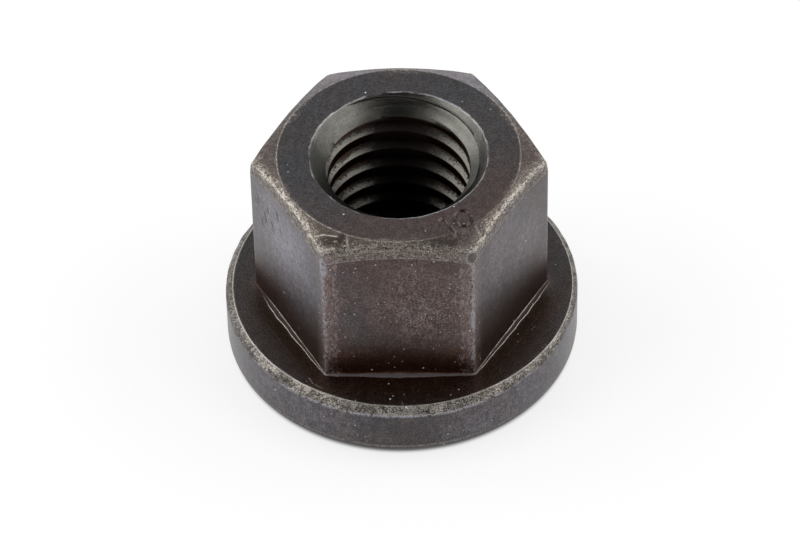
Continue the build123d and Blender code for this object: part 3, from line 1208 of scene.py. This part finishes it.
@dataclass(frozen=True)
class BlackenedSteel:
    """Outside of the nut: oiled black oxide, brown where it is thin, bare on battered edges, with painted shade near
    the foot and painted sheen on the side and back flats.
    """

    slate: Layer = Layer((0.0545, 0.0545, 0.0585), 0.33, 0.92)
    brown: Layer = Layer((0.079, 0.055, 0.050), 0.36, 0.95)
    smudge: Layer = Layer((0.096, 0.079, 0.070), 0.42, 0.9)
    olive: Layer = Layer((0.072, 0.061, 0.053), 0.42, 0.85)
    shadowed: Layer = Layer((0.026, 0.024, 0.0235), 0.40, 0.9)
    # Painted shade on the collar top beside the foot.
    collar_foot_shade: Layer = Layer((0.030, 0.0165, 0.0095), 0.36, 0.95)
    rust: Layer = Layer((0.26, 0.185, 0.135), 0.6, 0.1)
    # Painted shade on the lower flats just above the step.
    foot_shade: Layer = Layer((0.062, 0.031, 0.022), 0.36, 1.0)
    # Painted shade, red-brown, near the foot in front.
    red_foot_shade: Layer = Layer((0.078, 0.030, 0.016), 0.36, 0.95)
    warm_haze: Layer = Layer((0.300, 0.240, 0.228), 0.48, 0.6)
    # Cool pale layer: rubbed haze, and painted sheen on the side and back flats.
    cool_haze_and_sheen: Layer = Layer((0.392, 0.366, 0.440), 0.42, 0.8)
    tan: Layer = Layer((0.275, 0.226, 0.191), 0.60, 0.35)
    pale: Layer = Layer((0.36, 0.36, 0.39), 0.48, 0.7)
    grey: Layer = Layer((0.310, 0.276, 0.248), 0.50, 0.7)
    line: Layer = Layer((0.420, 0.420, 0.395), 0.45, 0.6)
    bare: Layer = Layer((0.56, 0.53, 0.47), 0.50, 0.8)
    battered: Layer = Layer((0.046, 0.038, 0.031), 0.50, 0.8)
    ledge: Layer = Layer((0.150, 0.136, 0.146), 0.50, 0.3)
    # Dark pits, and painted shade in the step at the foot.
    dark_mark: Layer = Layer((0.022, 0.016, 0.013), 0.45, 1.0)
    dust: Layer = Layer((0.70, 0.76, 0.80), 0.85, 0.0)
    spot_ground: Layer = Layer((0.105, 0.094, 0.086), 0.42, 0.9)
    spot: tuple[float, float, float] = (4.56, -7.86, 13.98)

    def build(self, effects: Effects) -> bpy.types.Material:
        """Lays the layers over each other, from the oxide up to the dust.

        Args:
            effects: The shared node groups.

        Returns:
            The finished material.
        """
        material = bpy.data.materials.new("blackened_steel_outside")
        material.use_nodes = True
        coat = Coat(Board(material.node_tree), effects, self.slate)
        self.oxide(coat)
        self.top_edges(coat)
        self.corners(coat)
        self.foot(coat)
        self.collar_rim(coat)
        self.marks(coat)
        height = coat.board.blend(0.6, coat.fine, coat.board.blend(0.5, coat.coarse, coat.cloud))
        coat.layers.finish(height, 0.006 * MM)
        return material

    def oxide(self, coat: "Coat") -> None:
        """Lays brown, painted shade near the foot, and haze with painted sheen over the slate ground, with the grain of
        the oxide.
        """
        board, layers, times = coat.board, coat.layers, coat.times
        layers.lay(self.brown, times(coat.stain, board.blend(coat.coarse, 0.86, 1.0)))
        # Painted shade on the lower flats above the step, stronger on the sides than in front.
        above_foot = board.ease(board.read(Attribute.FOOT), -2.8, -0.6)
        past_foot = board.ease(board.read(Attribute.FOOT), 0.15, 0.25, 1.0, 0.0)
        layers.lay(self.foot_shade, times(times(above_foot, past_foot), board.blend(coat.front, 0.75, 0.25)))
        # Painted shade, red-brown, on the flat and the collar top near the foot in front.
        near_foot = board.ease(board.math("ABSOLUTE", board.read(Attribute.FOOT)), 0.6, 2.9, 1.0, 0.0)
        layers.lay(self.red_foot_shade, times(near_foot, times(coat.front, 0.9)))
        smeared = board.ease(board.noise(coat.place, 0.9, 4.0, 0.7), 0.50, 0.70)
        on_side = board.ease(board.read(Attribute.RIM), 0.70, 0.85)
        layers.lay(self.smudge, times(smeared, board.blend(on_side, 0.15, 0.65)))
        on_ledge = times(
            board.ease(board.read(Attribute.FOOT), 0.30, 0.60), board.ease(board.read(Attribute.RIM), -0.15, 0.0, 1.0, 0.0)
        )
        layers.lay(self.shadowed, times(on_ledge, board.blend(coat.front, 0.45, 0.0)))
        # Painted shade on the collar top beside the foot on the sides, reaching further out on the right.
        sides = board.node("ShaderNodeSeparateXYZ")
        board.feed(sides.inputs[0], coat.place)
        reached = board.ease(sides.outputs["X"], -5.0, 5.0, 1.9, 2.8)
        past_step = times(
            board.ease(board.read(Attribute.FOOT), 0.08, 0.20), board.ease(board.read(Attribute.RIM), -0.15, 0.0, 1.0, 0.0)
        )
        collar_foot_shade = times(past_step, board.ease(board.read(Attribute.FOOT), 0.6, reached, 0.85, 0.0))
        collar_foot_shade = times(collar_foot_shade, board.ease(coat.stain, 0.32, 0.62, 0.25, 1.0))
        layers.lay(self.collar_foot_shade, times(collar_foot_shade, board.blend(coat.front, 1.0, 0.0)))
        specks = times(on_ledge, times(coat.front, board.ease(coat.speckle, 0.55, 0.90, 0.0, 0.10)))
        layers.lay(self.tan, specks)
        facet = times(
            board.ease(board.read(Attribute.CIRCLE), 0.02, 0.10),
            board.ease(board.read(Attribute.RIDGE), 0.45, 0.60, 1.0, 0.0),
        )
        layers.lay(self.olive, times(facet, times(coat.stain, board.blend(coat.coarse, 0.4, 1.0))))
        layers.shade(times(board.blend(coat.fine, 0.64, 1.38), board.blend(coat.coarse, 0.88, 1.12)))
        # The haze share is rubbed haze on the front and painted sheen on the side and back flats.
        haze = board.read(Attribute.HAZE)
        streaky = board.ease(board.blend(0.30, board.blend(0.5, coat.streak, coat.fine), coat.coarse), 0.25, 0.80)
        sharp = board.ease(board.blend(0.20, board.blend(0.55, coat.streak, coat.fine), coat.coarse), 0.40, 0.85)
        layers.lay(self.warm_haze, times(haze, times(board.blend(coat.stain, 0.35, 1.0), times(sharp, 0.85))))
        # Cool painted sheen, streaked, on the slate side and back flats.
        cool = times(haze, board.math("SUBTRACT", 1.0, coat.stain))
        layers.lay(self.cool_haze_and_sheen, times(cool, board.blend(streaky, 0.24, 0.72)))
        layers.lay(self.rust, board.ease(coat.speckle, 0.86, 1.0, 0.0, 0.22))

    def top_edges(self, coat: "Coat") -> None:
        """Lays the worn bands on both sides of the top edges, and the rim of the top face."""
        board, layers, times = coat.board, coat.layers, coat.times
        fibre = coat.fibres(Attribute.RIDGE)
        rough = board.blend(board.blend(coat.front, 0.50, 0.25), coat.speckle, fibre)
        flecks = times(board.ease(board.read(Attribute.CIRCLE), 0.02, 0.10), board.ease(rough, 0.55, 0.85))
        flecks = times(flecks, board.ease(board.read(Attribute.RIDGE), -0.1, 0.1, 1.0, 0.0))
        layers.lay(self.tan, times(flecks, times(coat.cloud, 0.25)))
        chamfer_side = times(coat.edge(Attribute.RIDGE, -0.22, 0.40, 0.16, 0.60), board.blend(coat.wear, 0.20, 1.0))
        flat_side = times(coat.edge(Attribute.RIDGE, 0.36, 0.40, 0.03, 0.12), board.blend(coat.wear, 0.45, 1.0))
        layers.lay(self.tan, times(chamfer_side, board.ease(rough, 0.34, 0.74, 0.02, 0.9)))
        layers.lay(self.tan, times(flat_side, board.ease(rough, 0.38, 0.70, 0.0, 0.85)))
        sparks = times(board.math("MAXIMUM", chamfer_side, flat_side), board.ease(rough, 0.60, 0.95))
        layers.lay(self.bare, times(sparks, 0.50))
        border = times(coat.edge(Attribute.RIDGE, 0.74, 0.04, 0.03, 0.16), board.ease(coat.coarse, 0.25, 0.60))
        layers.lay(self.pale, times(border, 0.55))
        core = times(coat.edge(Attribute.RIDGE, -0.05, 0.14, 0.09, 0.85), board.ease(rough, 0.22, 0.62))
        layers.lay(self.bare, times(core, board.ease(coat.wear, 0.35, 0.95, 0.0, 0.9)))
        circle = times(coat.edge(Attribute.CIRCLE, 0.0, 0.036, 0.028, 0.13), coat.wear)
        layers.lay(self.tan, times(circle, 0.6))
        layers.lay(self.bare, times(circle, board.ease(coat.coarse, 0.38, 0.74)))

    def corners(self, coat: "Coat") -> None:
        """Lays the rubbed strips beside the upright corners, which are widest on the brown front."""
        board, layers, times = coat.board, coat.layers, coat.times
        front = coat.front
        strip = times(coat.edge(Attribute.CORNER, 0.0, 0.42, 0.26, 0.80), board.blend(front, 0.12, 0.85))
        worn = board.blend(0.5, coat.streak, coat.speckle)
        layers.lay(self.warm_haze, times(strip, board.ease(worn, 0.25, 0.75)))
        line = times(coat.edge(Attribute.CORNER, 0.60, 0.06, 0.06, 0.70), front)
        layers.lay(self.warm_haze, times(line, board.ease(coat.streak, 0.30, 0.75, 0.0, 0.65)))
        blade = times(coat.edge(Attribute.CORNER, 0.0, 0.09, 0.07, 0.30), board.ease(coat.streak, 0.25, 0.80))
        layers.lay(self.pale, times(blade, board.blend(front, 0.25, 0.8)))

    def foot(self, coat: "Coat") -> None:
        """Lays the step at the foot: a dull ledge in front, elsewhere painted shade on the step between two bright
        lines, partly worn and partly painted highlights.
        """
        board, layers, times = coat.board, coat.layers, coat.times
        beside = board.math("SUBTRACT", 1.0, coat.front)
        layers.lay(self.ledge, times(coat.edge(Attribute.STEP, 0.13, 0.14, 0.02, 0.04), times(coat.front, 0.8)))
        # Painted shade in the step between the two lines, on the sides.
        layers.lay(self.dark_mark, times(coat.edge(Attribute.STEP, 0.13, 0.12, 0.03, 0.03), times(beside, 0.8)))
        # The two bright lines: partly worn edges, partly painted highlights on the step's edges.
        for centre, half in ((-0.03, 0.024), (0.29, 0.028)):
            line = times(coat.edge(Attribute.STEP, centre, half, 0.020, 0.05), beside)
            layers.lay(self.line, times(line, times(coat.wear, board.ease(coat.coarse, 0.10, 0.90, 0.40, 1.0))))

    def collar_rim(self, coat: "Coat") -> None:
        """Lays the battered rim of the collar, a thin lip above it, a torn one below, and the lower edge."""
        board, layers, times = coat.board, coat.layers, coat.times
        pitted = board.blend(0.40, coat.speckle, board.blend(0.45, coat.blotch, coat.coarse))
        rim = times(coat.edge(Attribute.RIM, 0.34, 0.34, 0.04, 0.20), board.blend(coat.wear, 0.30, 1.05))
        layers.lay(self.battered, times(rim, 0.85))
        stretch = board.ease(board.noise(coat.place, 1.1, 3.0, 0.6), 0.40, 0.60)
        rim = times(rim, board.blend(stretch, 0.60, 1.0))
        layers.lay(self.grey, times(rim, board.ease(pitted, 0.30, 0.56)))
        layers.lay(self.bare, times(rim, board.ease(pitted, 0.50, 0.78, 0.0, 0.80)))
        lip = coat.edge(Attribute.RIM, 0.01, 0.040, 0.025, 0.06)
        layers.lay(self.bare, times(lip, board.blend(coat.coarse, 0.35, 1.0)))
        torn = times(coat.edge(Attribute.RIM, 0.67, 0.10, 0.05, 0.34), board.ease(coat.coarse, 0.20, 0.60))
        layers.lay(self.pale, times(torn, coat.wear))
        base = coat.edge(Attribute.BASE, -0.06, 0.08, 0.06, 0.24)
        layers.lay(self.grey, times(base, times(coat.fine, 0.8)))
        # Pale line at the mouth's rim: partly a worn burr, partly a painted highlight.
        mouth = times(coat.edge(Attribute.MOUTH, 0.03, 0.038, 0.03, 0.10), board.ease(coat.cloud, 0.1, 0.6))
        layers.lay(self.pale, times(mouth, 0.85))

    def marks(self, coat: "Coat") -> None:
        """Lays the single marks: a round spot at the front right corner, scratches, pits and dust."""
        board, layers, times = coat.board, coat.layers, coat.times
        around = board.vector("DISTANCE", coat.place, self.spot).outputs["Value"]
        outline = board.group(
            coat.effects.worn_edge, Distance=around, Centre=0.46, Half_width=0.045, Softness=0.045, Fray=0.14,
            Grit=coat.grit,
        )
        layers.lay(self.pale, times(outline.outputs["Mask"], board.blend(coat.coarse, 0.05, 0.85)))
        layers.lay(self.spot_ground, board.ease(around, 0.33, 0.42, 1.0, 0.0))
        for dark_mark in DARK_PITS:
            layers.lay(self.dark_mark, times(coat.stroke(dark_mark), board.ease(coat.grit, 0.15, 0.50)))
        # Painted highlights beside the front corners.
        for patch in PAINTED_CORNER_HIGHLIGHTS:
            layers.lay(self.pale, times(coat.stroke(patch), board.ease(coat.grit, 0.15, 0.60)))
        for scratch in LIGHT_SCRATCHES:
            layers.lay(self.tan, times(coat.stroke(scratch), board.blend(coat.coarse, 0.4, 1.0)))
        for edge in CHIP_EDGES:
            layers.lay(self.bare, times(coat.stroke(edge), board.blend(coat.coarse, 0.3, 1.0)))
        low = board.ease(board.read(Attribute.FOOT), -6.0, -2.0, 0.14, 0.50)
        share = board.math("ADD", times(coat.front, low), 0.10)
        for spacing, radius, strength in ((0.7, 0.062, 0.90), (0.48, 0.052, 0.80)):
            specks = board.group(coat.effects.dust, Place=coat.place, Spacing=spacing, Share=share, Radius=radius)
            layers.lay(self.dust, times(specks.outputs["Mask"], strength))


class Coat:
    """What the outside's layers are laid with: the grain, the masks and what the skin says of a place."""

    def __init__(self, board: Board, effects: Effects, ground: Layer) -> None:
        """Starts on the ground layer, and places the grain.

        Args:
            board: Board of the material.
            effects: The shared node groups.
            ground: Lowest layer.
        """
        self.board = board
        self.effects = effects
        self.place = board.place()
        grain = board.group(effects.grain, Place=self.place, Size=1.0)
        self.fine, self.coarse, self.cloud, self.streak = grain.outputs[:4]
        self.grit = board.blend(0.5, self.fine, self.coarse)
        close = board.group(effects.grain, Place=self.place, Size=0.75)
        self.speckle, self.blotch = close.outputs[:2]
        self.wear = board.read(Attribute.WEAR)
        self.stain = board.read(Attribute.STAIN_AND_SHADE)
        self.front = board.read(Attribute.FRONT)
        self.layers = Stack(board, ground)

    def times(self, first: Value, second: Value) -> bpy.types.NodeSocket:
        """Product of two numbers."""
        return self.board.math("MULTIPLY", first, second)

    def edge(
        self, attribute: Attribute, centre: float, half: float, soft: float, fray: float
    ) -> bpy.types.NodeSocket:
        """Frayed wear beside one of the named edges.

        Args:
            attribute: Distance from the edge.
            centre: Middle of the wear, in millimetres from the edge.
            half: Half its width.
            soft: Half the width over which it fades.
            fray: How far the grain moves its border.

        Returns:
            A mask from 0 to 1.
        """
        made = self.board.group(
            self.effects.worn_edge, Distance=self.board.read(attribute), Centre=centre,
            Half_width=half, Softness=soft, Fray=fray, Grit=self.grit,
        )
        return made.outputs["Mask"]

    def fibres(self, attribute: Attribute) -> bpy.types.NodeSocket:
        """Fibres that run along one of the named edges."""
        made = self.board.group(self.effects.fibres, Place=self.place, Distance=self.board.read(attribute))
        return made.outputs["Fibre"]

    def stroke(self, scratch: Scratch) -> bpy.types.NodeSocket:
        """Mask of a single stroke, as strong as the stroke is."""
        made = self.board.group(
            self.effects.stroke, Place=self.place, Start=scratch.start, End=scratch.end,
            Half_width=scratch.half_width,
        )
        return self.times(made.outputs["Mask"], scratch.strength)


class Stack:
    """Layers that are laid over each other, each one under its own mask."""

    def __init__(self, board: Board, ground: Layer) -> None:
        """Starts with the lowest layer."""
        self.board = board
        self.colour: Value = ground.colour
        self.roughness: Value = ground.roughness
        self.metallic: Value = ground.metallic

    def lay(self, layer: Layer, mask: Value) -> None:
        """Covers what is there with a layer, as far as the mask says.

        Args:
            layer: The layer on top.
            mask: Its share, from 0 to 1.
        """
        self.colour = self.board.mix(mask, self.colour, layer.colour)
        self.roughness = self.board.blend(mask, self.roughness, layer.roughness)
        self.metallic = self.board.blend(mask, self.metallic, layer.metallic)

    def shade(self, amount: Value) -> None:
        """Multiplies the colour so far by a number about 1."""
        made = self.board.node("ShaderNodeVectorMath", operation="SCALE")
        self.board.feed(made.inputs[0], self.colour)
        self.board.feed(made.inputs["Scale"], amount)
        self.colour = made.outputs[0]

    def finish(self, height: Value, relief: float) -> None:
        """Ends the material in a surface shader.

        Args:
            height: Relief of the surface, from 0 to 1.
            relief: Depth of that relief, in metres.
        """
        board = self.board
        bump = board.node("ShaderNodeBump")
        bump.inputs["Distance"].default_value = relief
        board.feed(bump.inputs["Height"], height)
        shader = board.node("ShaderNodeBsdfPrincipled")
        board.feed(shader.inputs["Base Color"], self.colour)
        board.feed(shader.inputs["Roughness"], self.roughness)
        board.feed(shader.inputs["Metallic"], self.metallic)
        board.feed(shader.inputs["Normal"], bump.outputs[0])
        output = board.node("ShaderNodeOutputMaterial")
        board.feed(output.inputs["Surface"], shader.outputs[0])


@dataclass(frozen=True)
class CutThread:
    """Bore and countersinks: steel cut after blackening was rubbed thin, with dirt in the root and painted shade on the
    far wall and in the score.
    """

    cut: Layer = Layer((0.108, 0.106, 0.095), 0.26, 1.0)
    crest: Layer = Layer((0.030, 0.013, 0.007), 0.40, 0.9)
    dirt: Layer = Layer((0.064, 0.028, 0.014), 0.60, 0.25)
    # Painted shade: the thread's far wall and the score's groove.
    bore_shade: Layer = Layer((0.014, 0.007, 0.005), 0.60, 0.5)
    bare: Layer = Layer((0.42, 0.42, 0.42), 0.40, 1.0)
    dust: Layer = Layer((0.70, 0.76, 0.80), 0.85, 0.0)

    def build(self, effects: Effects) -> bpy.types.Material:
        """Lays dirt in the root, painted shade on the far wall and in the score, bright wear at the mouth that is
        partly a painted highlight, and dust over the cut steel.

        Args:
            effects: The shared node groups.

        Returns:
            The finished material.
        """
        material = bpy.data.materials.new("blackened_steel_bore")
        material.use_nodes = True
        board = Board(material.node_tree)
        place = board.place()
        grain = board.group(effects.grain, Place=board.vector("MULTIPLY", place, (0.45, 0.45, 1.0)).outputs[0], Size=0.7)
        fine, coarse = grain.outputs["Fine"], grain.outputs["Coarse"]
        grit = board.blend(0.6, fine, coarse)
        times = partial(board.math, "MULTIPLY")
        depth = board.read(Attribute.DEPTH)
        mouth_distance = board.read(Attribute.MOUTH)

        turning = board.node("ShaderNodeTexNoise", noise_dimensions="1D")
        board.feed(turning.inputs["W"], board.math("DIVIDE", mouth_distance, 0.07))
        turning.inputs["Detail"].default_value = 3.0
        rings = board.ease(turning.outputs[0], 0.30, 0.70)

        layers = Stack(board, self.cut)
        layers.shade(times(board.blend(rings, 0.94, 1.05), board.blend(grit, 0.80, 1.16)))
        layers.lay(self.crest, board.ease(depth, 0.01, 0.06, 1.0, 0.0))
        ragged = board.math("ADD", depth, times(board.math("SUBTRACT", grit, 0.5), 0.62))
        below = board.ease(mouth_distance, -2.1, -1.6, 1.0, 0.0)
        layers.lay(self.dirt, times(board.ease(ragged, 0.24, 0.46), below))
        # Painted shade on the thread's far wall, by angle, below the cone.
        past_cone = board.ease(mouth_distance, -1.75, -1.45, 1.0, 0.0)
        shaded_by_angle = board.math("ADD", board.read(Attribute.STAIN_AND_SHADE), times(board.math("SUBTRACT", grit, 0.5), 0.5))
        layers.lay(self.bore_shade, times(board.ease(shaded_by_angle, 0.35, 0.75, 0.0, 0.9), past_cone))
        # Painted shadow in the score's groove.
        layers.lay(self.bore_shade, board.ease(board.read(Attribute.SCORE), 0.30, 0.70))
        # Bright line at the mouth's rim: partly wear, partly a painted highlight.
        mouth = board.group(
            effects.worn_edge, Distance=mouth_distance, Centre=0.0, Half_width=0.03,
            Softness=0.025, Fray=0.08, Grit=grit,
        )
        layers.lay(self.bare, times(mouth.outputs["Mask"], 0.5))
        specks = board.group(effects.dust, Place=place, Spacing=0.9, Share=0.05, Radius=0.045)
        layers.lay(self.dust, times(specks.outputs["Mask"], 0.6))
        layers.finish(board.blend(0.3, grit, rings), 0.005 * MM)
        return material


@dataclass(frozen=True)
class PhotoCamera:
    """Camera at the photograph's angle: above the front flat, a little turned and rolled."""

    elevation: float = math.radians(46.14)
    turn: float = math.radians(1.531)
    roll: float = math.radians(-1.349)
    distance: float = 295.08
    focal_pixels: float = 4740.4
    picture_width: float = 800.0
    target: tuple[float, float] = (-0.0717, 5.171)
    sensor: float = 36.0

    def back(self) -> Vector:
        """Direction from the nut to the camera."""
        level = math.cos(self.elevation)
        return Vector((math.sin(self.turn) * level, -math.cos(self.turn) * level, math.sin(self.elevation)))

    def build(self) -> bpy.types.Object:
        """Makes the camera and hands it to the scene.

        Returns:
            The camera.
        """
        back = self.back()
        right = Vector((math.cos(self.turn), math.sin(self.turn), 0))
        up = back.cross(right)
        cosine, sine = math.cos(self.roll), math.sin(self.roll)
        right, up = right * cosine + up * sine, up * cosine - right * sine
        sideways, height = self.target
        target = Vector((sideways * math.cos(self.turn), sideways * math.sin(self.turn), height))
        place = (target + back * self.distance) * MM
        data = bpy.data.cameras.new("photo_camera")
        data.sensor_width = self.sensor
        data.lens = self.focal_pixels * self.sensor / self.picture_width
        data.clip_start = 0.01
        data.clip_end = 10.0
        camera = bpy.data.objects.new("photo_camera", data)
        turned = Matrix((right, up, back)).transposed()
        camera.matrix_world = Matrix.Translation(place) @ turned.to_4x4()
        bpy.context.scene.collection.objects.link(camera)
        bpy.context.scene.camera = camera
        return camera


@dataclass(frozen=True)
class Softbox:
    """Square lamp behind a soft white cloth, aimed at the nut."""

    name: str
    azimuth: float
    elevation: float
    width: float
    height: float
    power: float
    distance: float = 0.40

    def build(self) -> bpy.types.Object:
        """Makes the lamp.

        Returns:
            The lamp, at its distance from the nut's middle and turned towards it.
        """
        level = math.cos(self.elevation)
        away = Vector((math.cos(self.azimuth) * level, math.sin(self.azimuth) * level, math.sin(self.elevation)))
        data = bpy.data.lights.new(self.name, "AREA")
        data.shape = "RECTANGLE"
        data.size = self.width
        data.size_y = self.height
        data.energy = self.power
        lamp = bpy.data.objects.new(self.name, data)
        lamp.location = away * self.distance + Vector((0, 0, 7.5 * MM))
        lamp.rotation_euler = away.to_track_quat("Z", "Y").to_euler()
        bpy.context.scene.collection.objects.link(lamp)
        return lamp


SOFTBOXES = (
    Softbox("left_softbox", math.radians(179), math.radians(39), 0.44, 0.28, 0.86),
    Softbox("right_softbox", math.radians(3), math.radians(39), 0.44, 0.28, 0.76),
)


@dataclass(frozen=True)
class Studio:
    """White tent, brightest at the back and open from the camera to overhead, over a pale floor."""

    camera: PhotoCamera
    softboxes: tuple[Softbox, ...] = SOFTBOXES
    tent_left: float = 0.62
    tent_right: float = 0.50
    back_wall: float = 0.92
    gap_level: float = 0.05
    gap_elevation: float = math.radians(61)
    floor_radius: float = 1.6
    floor_colour: float = 0.28
    floor_glow: float = 0.74

    def light(self) -> None:
        """Makes the tent, as the world's own brightness by direction, and the lamps in it."""
        world = bpy.data.worlds.new("studio_tent")
        world.use_nodes = True
        bpy.context.scene.world = world
        board = Board(world.node_tree)
        way = board.node("ShaderNodeTexCoord").outputs["Generated"]

        def near(target: tuple[float, float, float], wide: float, narrow: float) -> bpy.types.NodeSocket:
            """Share that rises to 1 round a direction, between two angles from it in degrees."""
            towards = board.vector("DOT_PRODUCT", way, target).outputs["Value"]
            return board.ease(towards, math.cos(math.radians(wide)), math.cos(math.radians(narrow)))

        behind = (0.0, math.cos(math.radians(46)), math.sin(math.radians(46)))
        leftward = board.ease(board.vector("DOT_PRODUCT", way, (-1.0, 0.0, 0.0)).outputs["Value"], -1.0, 1.0)
        tent = board.blend(leftward, self.tent_right, self.tent_left)
        level = board.blend(near(behind, 62, 28), tent, self.back_wall)
        gap = (0.0, -math.cos(self.gap_elevation), math.sin(self.gap_elevation))
        level = board.blend(near(gap, 46, 28), level, self.gap_level)
        background = board.node("ShaderNodeBackground")
        board.feed(background.inputs["Strength"], level)
        background.inputs["Color"].default_value = (1.0, 1.0, 1.0, 1.0)
        output = board.node("ShaderNodeOutputWorld")
        board.feed(output.inputs["Surface"], background.outputs[0])
        for softbox in self.softboxes:
            softbox.build()

    def floor(self, nut_radius: float) -> bpy.types.Object:
        """Makes the floor as rings of points about the nut: place = radius times (cos a, sin a, 0).

        Args:
            nut_radius: Radius that the nut covers, in millimetres.

        Returns:
            The floor.
        """
        radii = np.concatenate([[0.0], np.geomspace(nut_radius * MM, self.floor_radius, 12)])
        angle = np.linspace(0, 2 * np.pi, 96, endpoint=False)
        rings = np.stack(
            [np.outer(radii, np.cos(angle)), np.outer(radii, np.sin(angle)), np.zeros((13, 96))], axis=-1,
        )
        ids = np.arange(13 * 96).reshape(13, 96)
        ids[0] = 0
        following = np.roll(ids, -1, axis=1)
        faces = NutSkin.quads(ids[::-1], following[::-1])
        corners = [list(dict.fromkeys(face)) for face in faces.tolist()]
        mesh = bpy.data.meshes.new("studio_floor")
        mesh.from_pydata(rings.reshape(-1, 3), [], corners)
        floor = bpy.data.objects.new("studio_floor", mesh)
        bpy.context.scene.collection.objects.link(floor)
        mesh.materials.append(self.paper(nut_radius))
        return floor

    def paper(self, nut_radius: float) -> bpy.types.Material:
        """White paper that keeps the nut's shadow, and glows for the camera and for reflections.

        Args:
            nut_radius: Radius inside which the paper doesn't glow, in millimetres.

        Returns:
            The finished material.
        """
        material = bpy.data.materials.new("studio_paper")
        material.use_nodes = True
        board = Board(material.node_tree)
        away = board.vector("LENGTH", board.place()).outputs["Value"]
        open_floor = board.ease(away, nut_radius - 0.45, nut_radius)
        path = board.node("ShaderNodeLightPath")
        seen = board.math("MAXIMUM", path.outputs["Is Camera Ray"], path.outputs["Is Glossy Ray"])
        seen = board.math("MAXIMUM", seen, path.outputs["Is Transmission Ray"])
        strength = board.math("MULTIPLY", board.math("MULTIPLY", seen, open_floor), self.floor_glow)
        glow = board.node("ShaderNodeEmission")
        board.feed(glow.inputs["Strength"], strength)
        paper = board.node("ShaderNodeBsdfDiffuse")
        board.feed(paper.inputs["Color"], (self.floor_colour,) * 3)
        both = board.node("ShaderNodeAddShader")
        board.feed(both.inputs[0], glow.outputs[0])
        board.feed(both.inputs[1], paper.outputs[0])
        output = board.node("ShaderNodeOutputMaterial")
        board.feed(output.inputs["Surface"], both.outputs[0])
        return material


def main() -> None:
    """Builds the skin, its finishes and the studio, in this order."""
    low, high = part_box(NODE)
    height = (high[2] - low[2]) / MM
    collar_radius = (high[0] - low[0]) / 2 / MM
    mounts = {mount["name"]: mount for mount in frame["record"]["mounts"]}
    crest_radius = mounts["thread"]["dims"]["r_mm"]

    effects = Effects.make()
    finishes = {Zone.OUTSIDE: BlackenedSteel().build(effects), Zone.BORE: CutThread().build(effects)}
    skin = NutSkin(Hexagon(height), Collar(collar_radius), Thread(height, crest_radius))
    piece = skin.build()
    skin.dress(piece, finishes)
    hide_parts(NODE)
    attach(piece, BODY)
    triangles = sum(len(face.vertices) - 2 for face in piece.data.polygons)
    log.info("%s: %d triangles", piece.name, triangles)

    camera = PhotoCamera()
    camera.build()
    studio = Studio(camera)
    studio.light()
    studio.floor(collar_radius)
    log.info("studio: %d softboxes and a floor", len(studio.softboxes))

    scene = bpy.context.scene
    scene.view_settings.view_transform = "Standard"


if __name__ == "__main__":
    logging.basicConfig(level=logging.INFO, format="%(name)s: %(message)s")
    main()
